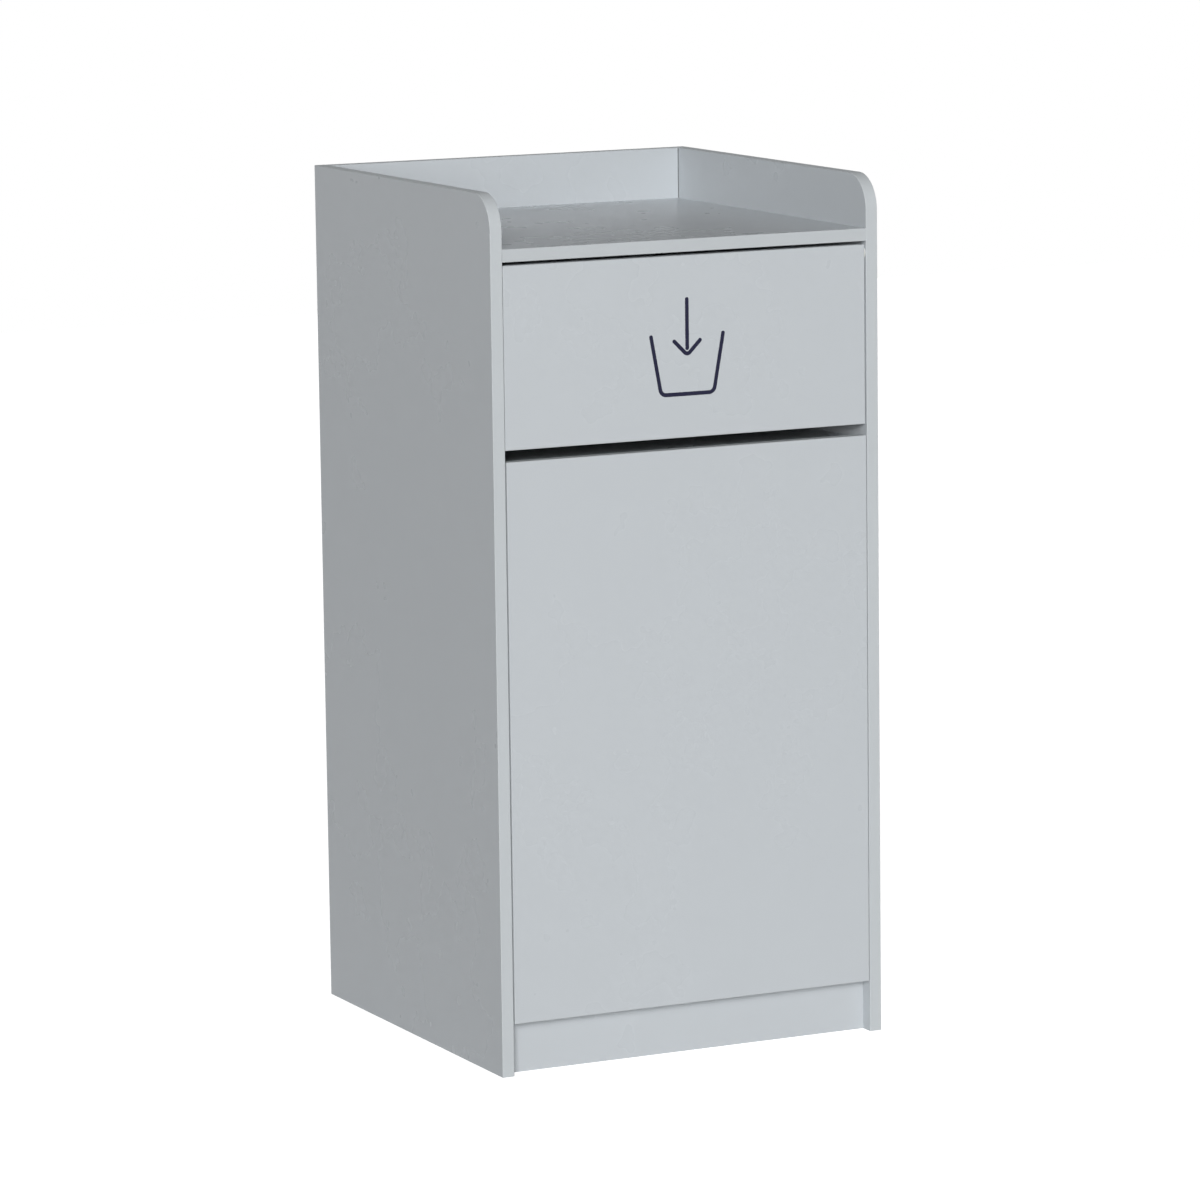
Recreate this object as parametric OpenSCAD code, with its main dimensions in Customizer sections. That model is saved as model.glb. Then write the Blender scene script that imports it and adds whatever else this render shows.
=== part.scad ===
/* [Cabinet] */
// Width over the two side panels
cabinet_w = 600; // [560:10:760]
// Depth from the front edges of the sides to the rear face
cabinet_d = 600; // [560:10:760]
// Height at the top of the sides
cabinet_h = 1230; // [1150:10:1400]
// Thickness of the melamine faced board
board_t = 18; // [17:1:20]
// Thickness of the plastic edge band
band_t = 1; // [0.5:0.5:2]
// Radius of the round front top corner of each side
corner_r = 50; // [20:5:70]

/* [Tray top and base] */
// Height of the walls above the tray surface
tray_wall_h = 75; // [50:5:110]
// Height of the toe kick and of the deck behind it
kick_h = 72; // [64:2:110]
// Distance of the toe kick behind the front edges
kick_recess = 22; // [10:2:50]

/* [Swing flap] */
// Height of the flap
flap_h = 254; // [200:2:290]
// Gap between the flap and the tray board above it
flap_gap_top = 5; // [5:0.5:8]
// Gap between the flap and each side panel
flap_gap_side = 1.5; // [1.5:0.5:4]
// Distance of the flap face behind the front edges
flap_recess = 2; // [0:1:6]
// Distance of the pivot pins below the top of the flap
flap_pin_drop = 12; // [11:1:20]
// Diameter of the pivot pins
flap_pin_d = 8; // [6:1:9]
// Length of a pivot pin inside the flap
flap_pin_grip = 24; // [16:2:40]
// Length of a pivot pin inside its bush
flap_pin_reach = 12; // [8:1:13]

/* [Pivot bush] */
// Outer diameter of the bush
bush_d = 12; // [11:1:14]
// Diameter of the bush flange
bush_flange_d = 18; // [16:1:22]
// Thickness of the bush flange
bush_flange_t = 1; // [0.5:0.5:1]
// Depth of the bush in the side panel
bush_depth = 14; // [13:1:16]

/* [Door] */
// Gap between the door and the flap, where fingers pull the door
finger_gap = 16; // [12:1:24]
// Gap between the door and the left side panel, which carries the hinges
door_gap_hinge = 2; // [2:0.5:3]
// Gap between the door and the right side panel
door_gap_free = 1; // [1:0.5:3]
// Gap between the door and the toe kick
door_gap_bottom = 2; // [1:0.5:5]
// Distance of each hinge from the nearer end of the door
hinge_end_dist = 100; // [80:5:160]

/* [Concealed hinge] */
// Distance of the hinge pin from the hinge edge of the door
pin_inset = 20; // [19:0.5:21]
// Distance of the hinge pin behind the front face of the door
pin_depth = 8; // [8:0.5:8.5]
// Diameter of the hinge pin
hinge_pin_d = 2.5; // [2:0.25:2.75]
// Outer diameter of the eye of the arm
eye_d = 5; // [4:0.25:5]
// Diameter of the cup
cup_d = 35; // [35:0.5:36]
// Distance of the cup centre from the hinge edge of the door
cup_inset = 22.5; // [22:0.5:23.5]
// Depth of the cup in the door
cup_depth = 13.5; // [13:0.5:14]
// Thickness of the cup wall
cup_wall = 0.7; // [0.5:0.1:0.9]
// Thickness of the cup flange
cup_flange_t = 1.2; // [0.8:0.2:1.6]
// Width of the cup flange round the mouth
cup_flange_w = 2.5; // [2:0.5:3.5]
// Spacing of the two cup screws
cup_screw_pitch = 45; // [42:1:48]
// Distance of the cup screws from the cup centre, away from the edge
cup_screw_offset = 9.5; // [7:0.5:10]
// Width of the goose neck
neck_w = 10; // [8:1:11]
// Thickness of the goose neck
neck_t = 2.5; // [2:0.25:2.75]
// Direction of the goose neck where it leaves the pin, in degrees
neck_angle = 141; // [139:1:143]
// Distance from the pin to the first bend of the goose neck
neck_reach = 21; // [20:0.5:23]
// Distance of the crossing part of the neck behind the pin
neck_cross = 27; // [26:0.5:32]
// Width of the hinge arm body
arm_w = 16; // [14:1:20]
// Height of the hinge arm body off the plate
arm_h = 7; // [6:0.5:8]
// Length of the hinge arm body
arm_l = 46; // [42:1:60]
// Sheet thickness of the hinge arm body
arm_t = 1.5; // [1:0.25:2]
// Thickness of the mounting plate
plate_t = 3; // [2:0.5:4]
// Spacing of the two screws of a mounting plate
plate_screw_pitch = 32; // [28:1:40]

/* [Magnetic catch] */
// Length of the catch housing
catch_l = 56; // [52:1:70]
// Width of the catch housing off the side panel
catch_w = 15; // [14:1:20]
// Depth of the catch housing
catch_dep = 14; // [12:1:20]
// Distance of the catch centre below the top of the door
catch_drop = 90; // [60:5:200]
// Thickness of the strike plate
strike_t = 1.2; // [0.8:0.2:2]

/* [Waste bin] */
// Width of the bin over its rim
bin_w = 464; // [380:4:470]
// Depth of the bin over its rim
bin_dep = 440; // [360:4:460]
// Height of the bin
bin_h = 700; // [600:10:720]
// Radius of the wall corners at the base of the bin
bin_r_low = 36; // [25:1:50]
// Radius of the wall corners at the rim of the bin
bin_r_high = 64; // [52:1:80]
// Wall thickness of the bin
bin_wall = 3; // [2:0.5:5]
// Width of the rim flange beyond the wall
rim_w = 14; // [8:1:20]
// Height of the turned down lip of the rim
rim_lip = 18; // [8:1:30]
// Height of the recess under the floor of the bin
bin_foot = 6; // [3:1:12]
// Distance of the bin axis behind the cabinet centre
bin_shift = 10; // [0:2:20]

/* [Joining hardware] */
// Diameter of a cam lock
cam_d = 15; // [14:0.5:16]
// Height of a cam lock
cam_h = 12.5; // [12:0.5:13.5]
// Distance of a cam lock from the face that it pulls against
cam_reach = 34; // [28:1:40]
// Diameter of the threaded end of a cam bolt
bolt_thread_d = 5; // [4:0.5:6]
// Length of the threaded end of a cam bolt
bolt_thread_l = 11; // [9:0.5:12]
// Diameter of the shank and head of a cam bolt
bolt_head_d = 7; // [6.5:0.25:7.5]
// Diameter of a wooden dowel
dowel_d = 8; // [6:1:8]
// Length of a wooden dowel
dowel_l = 30; // [26:1:34]
// Depth of a dowel in the face of a board
dowel_face = 12; // [8:1:13]

/* [Screws] */
// Diameter of a screw shank
screw_d = 4; // [3:0.25:4.5]
// Diameter of a screw head
screw_head_d = 7.5; // [6:0.25:8]
// Height of a screw head
screw_head_h = 2; // [1.5:0.25:2.5]
// Length of a screw shank in the board
screw_l = 11; // [8:0.5:12]

/* [Hidden] */
$fn = 64;

// Clearances: a seated piece, a running pin, and a rest gap between moving faces
seat_fit = 0.05;
run_fit = 0.05;
rest_gap = 0.3;
// How far a cut runs past the face that it starts from
over = 1;

// Faces of the case
front_y = -cabinet_d / 2;
rear_y = cabinet_d / 2;
in_w = cabinet_w - 2 * board_t;
in_x = in_w / 2;
back_y = rear_y - board_t;
tray_z = cabinet_h - tray_wall_h;
tray_under_z = tray_z - board_t;
kick_y = front_y + kick_recess;
deck_y = kick_y + board_t;
deck_z = kick_h;

// Flap
flap_top_z = tray_under_z - flap_gap_top;
flap_low_z = flap_top_z - flap_h;
flap_w = in_w - 2 * flap_gap_side;
flap_y = front_y + flap_recess;
flap_axis_y = flap_y + board_t / 2;
flap_axis_z = flap_top_z - flap_pin_drop;
flap_place = [-flap_w / 2, flap_y, flap_low_z];

// Door
door_top_z = flap_low_z - finger_gap;
door_low_z = kick_h + door_gap_bottom;
door_h = door_top_z - door_low_z;
door_w = in_w - door_gap_hinge - door_gap_free;
door_x = -in_x + door_gap_hinge;
door_back_y = front_y + board_t;
door_axis_x = door_x + pin_inset;
door_axis_y = front_y + pin_depth;
door_place = [door_x, front_y, door_low_z];
hinge_zs = [door_low_z + hinge_end_dist, door_top_z - hinge_end_dist];

// Hinge, measured from its pin: x toward the side panel, y into the cabinet
cup_x = pin_inset - cup_inset;
door_back = board_t - pin_depth;
panel_x = pin_inset + door_gap_hinge;
plate_x = panel_x - plate_t;
arm_x = plate_x - arm_h;
neck_bend = neck_reach * [cos(neck_angle), sin(neck_angle)];
neck_turn = [neck_bend[0], neck_cross];
neck_end = [arm_x + arm_t / 2, neck_cross];
plate_y = neck_cross + arm_l / 2;
plate_base_l = 30;
plate_base_w = 12;
plate_pad_d = 16;
arm_slot_inset = 14;
arm_slot_pitch = 22;
arm_slot_ys = [for (k = [0, 1]) neck_cross + arm_slot_inset + k * arm_slot_pitch];
arm_screw_d = 3;
arm_screw_head_d = 6;
arm_screw_head_h = 1.5;
pin_half = sqrt(pow(cup_d / 2, 2) - pow(cup_x, 2)) - seat_fit;
cup_ear_rim = 2;
cup_ear_d = screw_head_d + 2 * cup_ear_rim;

// Catch
catch_z = door_top_z - catch_drop;
catch_y = door_back_y + strike_t + rest_gap;
magnet_l = 30;
magnet_w = 8;
magnet_proud = 0.6;
magnet_dep = 0.7 * catch_dep;
magnet_end_wall = 2;
catch_body_l = magnet_l + 2 * magnet_end_wall;
catch_ear_t = 3;
catch_screw_dist = (catch_body_l + catch_l) / 4;
strike_l = 40;
strike_w = 12;

// Bin
bin_y = bin_shift;
bin_core_w = bin_w - 2 * rim_w - 2 * bin_r_high;
bin_core_d = bin_dep - 2 * rim_w - 2 * bin_r_high;
rim_t = bin_wall;
foot_w = 12;

// Joining hardware: places along the side panels as [y, z, turn of the bored face]
DOWN = [180, 0, 0];
FRONT = [90, 0, 0];
REAR = [-90, 0, 0];
joint_end = 60;
joint_step = 32;
cross_dowel_inset = 100;
tray_mid_z = tray_z - board_t / 2;
deck_mid_z = deck_z - board_t / 2;
back_mid_y = rear_y - board_t / 2;
kick_mid_y = kick_y + board_t / 2;
kick_cam_z = 24;
kick_dowel_step = 20;
kick_dowel_z = kick_cam_z + kick_dowel_step;
wall_dowel_z = tray_z + tray_wall_h / 2;
back_cam_zs = [deck_z + joint_end, (deck_z + tray_under_z) / 2, tray_under_z - joint_end];
TRAY_CAMS = [for (y = [front_y + joint_end, back_y - joint_end]) [y, tray_mid_z, DOWN]];
DECK_CAMS = [for (y = [deck_y + joint_end, back_y - joint_end]) [y, deck_mid_z, DOWN]];
BACK_CAMS = [for (z = back_cam_zs) [back_mid_y, z, FRONT]];
KICK_CAMS = [[kick_mid_y, kick_cam_z, REAR]];
ALL_CAMS = concat(TRAY_CAMS, DECK_CAMS, BACK_CAMS, KICK_CAMS);
SIDE_DOWELS = concat(
    [for (c = TRAY_CAMS) [c[0] - sign(c[0]) * joint_step, c[1]]],
    [for (c = DECK_CAMS) [c[0] - sign(c[0]) * joint_step, c[1]]],
    [for (c = BACK_CAMS) [c[0], c[1] + joint_step]],
    [[back_mid_y, wall_dowel_z], [kick_mid_y, kick_dowel_z]]);
// Dowels between a board end and the face of the back panel or toe kick, as [x, y, z, way]
cross_x = in_x - cross_dowel_inset;
CROSS_DOWELS = [for (x = [-cross_x, cross_x], p = [[back_y, tray_mid_z, 1],
    [back_y, deck_mid_z, 1], [deck_y, deck_mid_z, -1]]) [x, p[0], p[1], p[2]]];
dowel_board = dowel_l - dowel_face;

// Cam lock and bolt: play round the bolt, the cross slot, and the neck and head of the bolt
bolt_play = 0.5;
cam_mouth_play = 0.3;
cam_slot_w = 2;
cam_slot_l = 0.6 * cam_d;
cam_slot_deep = 2;
bolt_neck_d = 0.6 * bolt_head_d;
bolt_neck_l = 4;
bolt_end_l = 3;

// Screw heads: width at the top as a share of the seat, and the cross slot
head_taper = 0.8;
head_slot_w = 0.8;
head_slot_share = 0.6;

grey = [0.745, 0.765, 0.785];
band_grey = [0.79, 0.81, 0.825];
steel = [0.72, 0.73, 0.74];
zinc = [0.62, 0.63, 0.65];
white_nylon = [0.93, 0.93, 0.91];
beech = [0.80, 0.66, 0.47];
bin_grey = [0.36, 0.38, 0.40];
magnet_dark = [0.20, 0.20, 0.21];

// Outline of a side in y and z, drawn smaller by inset at the front and the top
module side_outline(inset) {
    r = corner_r - inset;
    low_h = cabinet_h - corner_r;
    translate([front_y + inset, 0]) square([cabinet_d - inset, low_h]);
    translate([front_y + corner_r, 0]) square([cabinet_d - corner_r, cabinet_h - inset]);
    translate([front_y + corner_r, low_h]) circle(r, $fn = 128);
}

// Stand a y and z outline up and give it a thickness along x
module stand_x(x, t) {
    translate([x, 0, 0]) rotate([90, 0, 90]) linear_extrude(t) children();
}

// Bore into the inner face of a side panel
module side_bore(side, y, z, d, depth) {
    translate([side * in_x, y, z]) rotate([0, side * 90, 0])
        translate([0, 0, -over]) cylinder(d = d, h = depth + over);
}

// Every hole that a side panel shares with the boards and the flap
module side_holes(side) {
    for (c = ALL_CAMS)
        side_bore(side, c[0], c[1], bolt_thread_d + 2 * seat_fit, bolt_thread_l + seat_fit);
    for (p = SIDE_DOWELS)
        side_bore(side, p[0], p[1], dowel_d + 2 * seat_fit, dowel_face + seat_fit);
    side_bore(side, flap_axis_y, flap_axis_z, bush_d + 2 * seat_fit, bush_depth + seat_fit);
}

module plain_side(side) {
    x = side > 0 ? in_x : -in_x - board_t;
    difference() {
        stand_x(x, board_t) side_outline(band_t);
        side_holes(side);
    }
}

// Heights of the two screws of the catch and of each mounting plate
function catch_screw_zs() = [for (s = [-1, 1]) catch_z + s * catch_screw_dist];
function plate_screw_zs() = [for (z = hinge_zs, s = [-1, 1]) z + s * plate_screw_pitch / 2];

module left_side_panel() {
    color(grey) difference() {
        plain_side(-1);
        for (z = plate_screw_zs())
            side_bore(-1, door_axis_y + plate_y, z, screw_d + 2 * seat_fit, screw_l + seat_fit);
    }
}

module right_side_panel() {
    color(grey) difference() {
        plain_side(1);
        for (z = catch_screw_zs())
            side_bore(1, catch_y + catch_dep / 2, z, screw_d + 2 * seat_fit, screw_l + seat_fit);
    }
}

module side_edge_bands() {
    color(band_grey) for (x = [-in_x - board_t, in_x])
        stand_x(x, board_t) difference() {
            side_outline(0);
            side_outline(band_t);
        }
}

// Cam lock pocket and bolt hole in the end of a board, seen from the cam centre
module cam_cut(side, c) {
    translate([side * (in_x - cam_reach), c[0], c[1]]) {
        rotate(c[2]) translate([0, 0, board_t / 2 - cam_h - seat_fit])
            cylinder(d = cam_d + 2 * seat_fit, h = cam_h + over);
        rotate([0, side * 90, 0])
            cylinder(d = bolt_head_d + 2 * bolt_play, h = cam_reach + over);
    }
}

module board_cuts(cams) {
    for (side = [-1, 1]) for (c = cams) cam_cut(side, c);
}

// Dowel holes in the ends of a board that meet the side panels
module end_dowel_cuts(y0, y1, z0, z1) {
    for (side = [-1, 1]) for (p = SIDE_DOWELS)
        if (p[0] > y0 && p[0] < y1 && p[1] > z0 && p[1] < z1)
            translate([side * (in_x - dowel_board - seat_fit), p[0], p[1]])
                rotate([0, side * 90, 0])
                    cylinder(d = dowel_d + 2 * seat_fit, h = dowel_board + over);
}

// One dowel along y: its face end lies on the side that way points to
module cross_dowel(p, grow) {
    start = p[3] > 0 ? -dowel_board : -dowel_face;
    translate([p[0], p[1] + start - grow, p[2]]) rotate([-90, 0, 0])
        cylinder(d = dowel_d + 2 * grow, h = dowel_l + 2 * grow);
}

module cross_dowel_cuts() {
    for (p = CROSS_DOWELS) cross_dowel(p, seat_fit);
}

module back_panel() {
    color(grey) difference() {
        translate([-in_x, back_y, 0]) cube([in_w, board_t, cabinet_h - band_t]);
        board_cuts(BACK_CAMS);
        end_dowel_cuts(back_y, rear_y, 0, cabinet_h);
        cross_dowel_cuts();
    }
}

module back_edge_band() {
    color(band_grey) translate([-in_x, back_y, cabinet_h - band_t])
        cube([in_w, board_t, band_t]);
}

module tray_shelf() {
    color(grey) difference() {
        translate([-in_x, front_y + band_t, tray_under_z])
            cube([in_w, back_y - front_y - band_t, board_t]);
        board_cuts(TRAY_CAMS);
        end_dowel_cuts(front_y, back_y, tray_under_z, tray_z);
        cross_dowel_cuts();
    }
}

module tray_edge_band() {
    color(band_grey) translate([-in_x, front_y, tray_under_z]) cube([in_w, band_t, board_t]);
}

module bottom_deck() {
    color(grey) difference() {
        translate([-in_x, deck_y, deck_z - board_t]) cube([in_w, back_y - deck_y, board_t]);
        board_cuts(DECK_CAMS);
        end_dowel_cuts(deck_y, back_y, deck_z - board_t, deck_z);
        cross_dowel_cuts();
    }
}

module toe_kick() {
    color(grey) difference() {
        translate([-in_x, kick_y, 0]) cube([in_w, board_t, kick_h]);
        board_cuts(KICK_CAMS);
        end_dowel_cuts(kick_y, deck_y, 0, kick_h);
        cross_dowel_cuts();
    }
}

// Cam lock with a mouth for the bolt head and a cross slot in its open face
module cam_lock(side) {
    face = board_t / 2;
    difference() {
        translate([0, 0, face - cam_h]) cylinder(d = cam_d, h = cam_h);
        rotate([0, side * 90, 0]) translate([0, 0, -cam_d / 5])
            cylinder(d = bolt_head_d + 2 * cam_mouth_play, h = cam_d);
        for (a = [0, 90]) rotate(a)
            translate([-cam_slot_l / 2, -cam_slot_w / 2, face - cam_slot_deep])
                cube([cam_slot_l, cam_slot_w, cam_slot_deep + over]);
    }
}

module cam_locks() {
    color(zinc) for (side = [-1, 1]) for (c = ALL_CAMS)
        translate([side * (in_x - cam_reach), c[0], c[1]]) rotate(c[2]) cam_lock(side);
}

// Cam bolt turned about its own axis: thread, collar, shank, neck and head
module cam_bolt() {
    shank_l = cam_reach - bolt_end_l / 2 - bolt_neck_l;
    cylinder(d = bolt_head_d, h = shank_l);
    translate([0, 0, -bolt_thread_l]) cylinder(d = bolt_thread_d, h = bolt_thread_l);
    translate([0, 0, shank_l]) cylinder(d = bolt_neck_d, h = bolt_neck_l);
    translate([0, 0, shank_l + bolt_neck_l]) cylinder(d = bolt_head_d, h = bolt_end_l);
}

module cam_bolts() {
    color(steel) for (side = [-1, 1]) for (c = ALL_CAMS)
        translate([side * in_x, c[0], c[1]]) rotate([0, -side * 90, 0]) cam_bolt();
}

module dowels() {
    color(beech) {
        for (side = [-1, 1]) for (p = SIDE_DOWELS)
            translate([side * (in_x - dowel_board), p[0], p[1]]) rotate([0, side * 90, 0])
                cylinder(d = dowel_d, h = dowel_l);
        for (p = CROSS_DOWELS) cross_dowel(p, 0);
    }
}

module flap_bushes() {
    color(white_nylon) for (side = [-1, 1])
        translate([side * in_x, flap_axis_y, flap_axis_z]) rotate([0, side * 90, 0])
            difference() {
                union() {
                    cylinder(d = bush_d, h = bush_depth);
                    translate([0, 0, -bush_flange_t])
                        cylinder(d = bush_flange_d, h = bush_flange_t);
                }
                translate([0, 0, -bush_flange_t - over])
                    cylinder(d = flap_pin_d + 2 * run_fit, h = bush_depth + bush_flange_t);
            }
}

// Board core of a front, inside its bands. The place is its lowest left front corner
module front_core(place, w, h) {
    translate(place + [band_t, 0, band_t]) cube([w - 2 * band_t, board_t, h - 2 * band_t]);
}

// Four strips: the upright ones run the full height, the others lie between them
module front_bands(place, w, h) {
    translate(place) {
        for (x = [0, w - band_t]) translate([x, 0, 0]) cube([band_t, board_t, h]);
        for (z = [0, h - band_t]) translate([band_t + seat_fit, 0, z])
            cube([w - 2 * band_t - 2 * seat_fit, board_t, band_t]);
    }
}

// Blind hole for a pivot pin in each end of the flap
module flap_pin_holes() {
    for (side = [-1, 1])
        translate([side * (flap_w / 2 - flap_pin_grip - seat_fit), flap_axis_y, flap_axis_z])
            rotate([0, side * 90, 0])
                cylinder(d = flap_pin_d + 2 * seat_fit, h = flap_pin_grip + over);
}

module flap_panel() {
    color(grey) difference() {
        front_core(flap_place, flap_w, flap_h);
        flap_pin_holes();
    }
}

module flap_edge_bands() {
    color(band_grey) difference() {
        front_bands(flap_place, flap_w, flap_h);
        flap_pin_holes();
    }
}

module flap_pins() {
    color(steel) for (side = [-1, 1])
        translate([side * (flap_w / 2 - flap_pin_grip), flap_axis_y, flap_axis_z])
            rotate([0, side * 90, 0])
                cylinder(d = flap_pin_d, h = flap_pin_grip + flap_gap_side + flap_pin_reach);
}

// Places children at the pin of each hinge, with x toward the side panel
module at_hinges() {
    for (z = hinge_zs) translate([door_axis_x, door_axis_y, z]) mirror([1, 0, 0]) children();
}

// Screw whose head rests on z = 0 of its own frame and whose shank points down
module screw(d, l, head_d, head_h) {
    slot_l = head_slot_share * head_d;
    translate([0, 0, -l]) cylinder(d = d, h = l);
    difference() {
        cylinder(d1 = head_d, d2 = head_taper * head_d, h = head_h);
        for (a = [0, 90]) rotate(a)
            translate([-slot_l / 2, -head_slot_w / 2, head_h / 2])
                cube([slot_l, head_slot_w, head_h]);
    }
}

module cup_screw_places() {
    for (s = [-1, 1])
        translate([cup_x - cup_screw_offset, door_back, s * cup_screw_pitch / 2])
            rotate([-90, 0, 0]) children();
}

module door_panel() {
    color(grey) difference() {
        front_core(door_place, door_w, door_h);
        at_hinges() {
            translate([cup_x, door_back - cup_depth - seat_fit, 0]) rotate([-90, 0, 0])
                cylinder(d = cup_d + 2 * seat_fit, h = cup_depth + over, $fn = 96);
            cup_screw_places() translate([0, 0, -screw_l - seat_fit])
                cylinder(d = screw_d + 2 * seat_fit, h = screw_l + over);
        }
        strike_place() translate([0, 0, -screw_l - seat_fit])
            cylinder(d = screw_d + 2 * seat_fit, h = screw_l + over);
    }
}

module door_edge_bands() {
    color(band_grey) front_bands(door_place, door_w, door_h);
}

// Flange of the cup: a ring with two screw ears
module cup_flange() {
    circle(cup_d / 2 + cup_flange_w, $fn = 96);
    translate([-cup_screw_offset - cup_ear_d / 2, -cup_screw_pitch / 2])
        square([cup_ear_d, cup_screw_pitch]);
    for (s = [-1, 1])
        translate([-cup_screw_offset, s * cup_screw_pitch / 2]) circle(cup_ear_d / 2);
}

module hinge_cups() {
    color(steel) at_hinges() difference() {
        translate([cup_x, door_back, 0]) rotate([-90, 0, 0]) difference() {
            union() {
                linear_extrude(cup_flange_t) cup_flange();
                translate([0, 0, -cup_depth]) cylinder(d = cup_d, h = cup_depth, $fn = 96);
            }
            translate([0, 0, -cup_depth + cup_wall])
                cylinder(d = cup_d - 2 * cup_wall, h = cup_depth + cup_flange_t, $fn = 96);
        }
        cylinder(d = hinge_pin_d + 2 * seat_fit, h = 2 * cup_d, center = true);
        cup_screw_places() translate([0, 0, -over])
            cylinder(d = screw_d + 2 * seat_fit, h = cup_flange_t + 2 * over);
    }
}

module hinge_cup_screws() {
    color(steel) at_hinges() cup_screw_places() translate([0, 0, cup_flange_t])
        screw(screw_d, screw_l + cup_flange_t, screw_head_d, screw_head_h);
}

module hinge_pins() {
    color(steel) at_hinges()
        cylinder(d = hinge_pin_d, h = 2 * pin_half, center = true);
}

// A straight bar with round ends between two points of the x and y plane
module bar(p, q, t) {
    way = q - p;
    translate(p) rotate(atan2(way[1], way[0])) translate([0, -t / 2]) square([norm(way), t]);
    for (e = [p, q]) translate(e) circle(t / 2);
}

// Goose neck: out of the cup, straight back, then across to the arm body
module goose_neck() {
    linear_extrude(neck_w, center = true) {
        bar([0, 0], neck_bend, neck_t);
        bar(neck_bend, neck_turn, neck_t);
        bar(neck_turn, neck_end, neck_t);
        circle(eye_d / 2);
    }
}

// Channel that straddles the raised middle of the mounting plate
module arm_channel() {
    difference() {
        translate([arm_x, neck_cross, -arm_w / 2]) cube([arm_h, arm_l, arm_w]);
        translate([arm_x + arm_t, neck_cross + arm_t, -arm_w / 2 + arm_t])
            cube([arm_h, arm_l, arm_w - 2 * arm_t]);
        for (y = arm_slot_ys)
            translate([arm_x - over, y, 0]) rotate([0, 90, 0])
                cylinder(d = arm_screw_d + 2 * seat_fit, h = arm_t + 2 * over);
    }
}

module hinge_arms() {
    color(steel) at_hinges() difference() {
        union() {
            goose_neck();
            arm_channel();
        }
        cylinder(d = hinge_pin_d + 2 * run_fit, h = 2 * neck_w, center = true);
    }
}

// Plate with two screw pads on the panel and a raised middle inside the arm
module hinge_plates() {
    rail_w = arm_w - 2 * arm_t - 2 * rest_gap;
    rail_h = arm_h - arm_t;
    color(steel) at_hinges() difference() {
        union() {
            translate([plate_x, plate_y - plate_base_l / 2, -plate_base_w / 2])
                cube([plate_t, plate_base_l, plate_base_w]);
            translate([plate_x, plate_y - plate_base_w / 2, -plate_screw_pitch / 2])
                cube([plate_t, plate_base_w, plate_screw_pitch]);
            for (s = [-1, 1])
                translate([plate_x, plate_y, s * plate_screw_pitch / 2]) rotate([0, 90, 0])
                    cylinder(d = plate_pad_d, h = plate_t);
            translate([plate_x - rail_h, neck_cross + 2 * arm_t, -rail_w / 2])
                cube([rail_h + over / 2, arm_l - 4 * arm_t, rail_w]);
        }
        for (s = [-1, 1])
            translate([plate_x - over, plate_y, s * plate_screw_pitch / 2]) rotate([0, 90, 0])
                cylinder(d = screw_d + 2 * seat_fit, h = plate_t + 2 * over);
        for (y = arm_slot_ys)
            translate([plate_x - rail_h - over, y, 0]) rotate([0, 90, 0])
                cylinder(d = arm_screw_d + 2 * seat_fit, h = rail_h + over);
    }
}

module hinge_plate_screws() {
    color(steel) at_hinges() for (s = [-1, 1])
        translate([plate_x, plate_y, s * plate_screw_pitch / 2]) rotate([0, -90, 0])
            screw(screw_d, screw_l + plate_t, screw_head_d, screw_head_h);
}

module hinge_arm_screws() {
    color(zinc) at_hinges() for (y = arm_slot_ys)
        translate([arm_x, y, 0]) rotate([0, -90, 0])
            screw(arm_screw_d, arm_h - arm_t / 2, arm_screw_head_d, arm_screw_head_h);
}

// Places children on the right side panel, with x off the panel
module at_catch() {
    translate([in_x, catch_y, catch_z]) mirror([1, 0, 0]) children();
}

// Housing with a pocket for the magnet and two screw ears on the side panel
module catch_housing() {
    color(white_nylon) at_catch() difference() {
        union() {
            translate([0, magnet_proud, -catch_body_l / 2])
                cube([catch_w, catch_dep - magnet_proud, catch_body_l]);
            translate([0, magnet_proud, -catch_l / 2])
                cube([catch_ear_t, catch_dep - magnet_proud, catch_l]);
        }
        for (s = [-1, 1])
            translate([-over, catch_dep / 2, s * catch_screw_dist]) rotate([0, 90, 0])
                cylinder(d = screw_d + 2 * seat_fit, h = catch_ear_t + 2 * over);
        translate([catch_w / 2 - magnet_w / 2 - seat_fit, -over, -magnet_l / 2 - seat_fit])
            cube([magnet_w + 2 * seat_fit, magnet_dep + over, magnet_l + 2 * seat_fit]);
    }
}

module catch_magnet() {
    color(magnet_dark) at_catch() translate([catch_w / 2 - magnet_w / 2, 0, -magnet_l / 2])
        cube([magnet_w, magnet_dep, magnet_l]);
}

module catch_screws() {
    color(steel) at_catch() for (s = [-1, 1])
        translate([catch_ear_t, catch_dep / 2, s * catch_screw_dist]) rotate([0, 90, 0])
            screw(screw_d, screw_l + catch_ear_t, screw_head_d, screw_head_h);
}

// The strike plate sits on the back of the door, opposite the magnet
module strike_place() {
    translate([in_x - catch_w / 2, door_back_y, catch_z]) rotate([-90, 0, 0]) children();
}

module strike_plate() {
    color(steel) strike_place() difference() {
        translate([-strike_w / 2, -strike_l / 2, 0]) cube([strike_w, strike_l, strike_t]);
        translate([0, 0, -over]) cylinder(d = screw_d + 2 * seat_fit, h = strike_t + 2 * over);
    }
}

module strike_screw() {
    color(steel) strike_place() translate([0, 0, -screw_l])
        cylinder(d = screw_d, h = screw_l + strike_t);
}

// Rectangle with round corners whose corner centres stay on a fixed core
module round_core(r) {
    square([bin_core_w + 2 * r, bin_core_d], center = true);
    square([bin_core_w, bin_core_d + 2 * r], center = true);
    for (x = [-1, 1]) for (y = [-1, 1])
        translate([x * bin_core_w / 2, y * bin_core_d / 2]) circle(r, $fn = 96);
}

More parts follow.
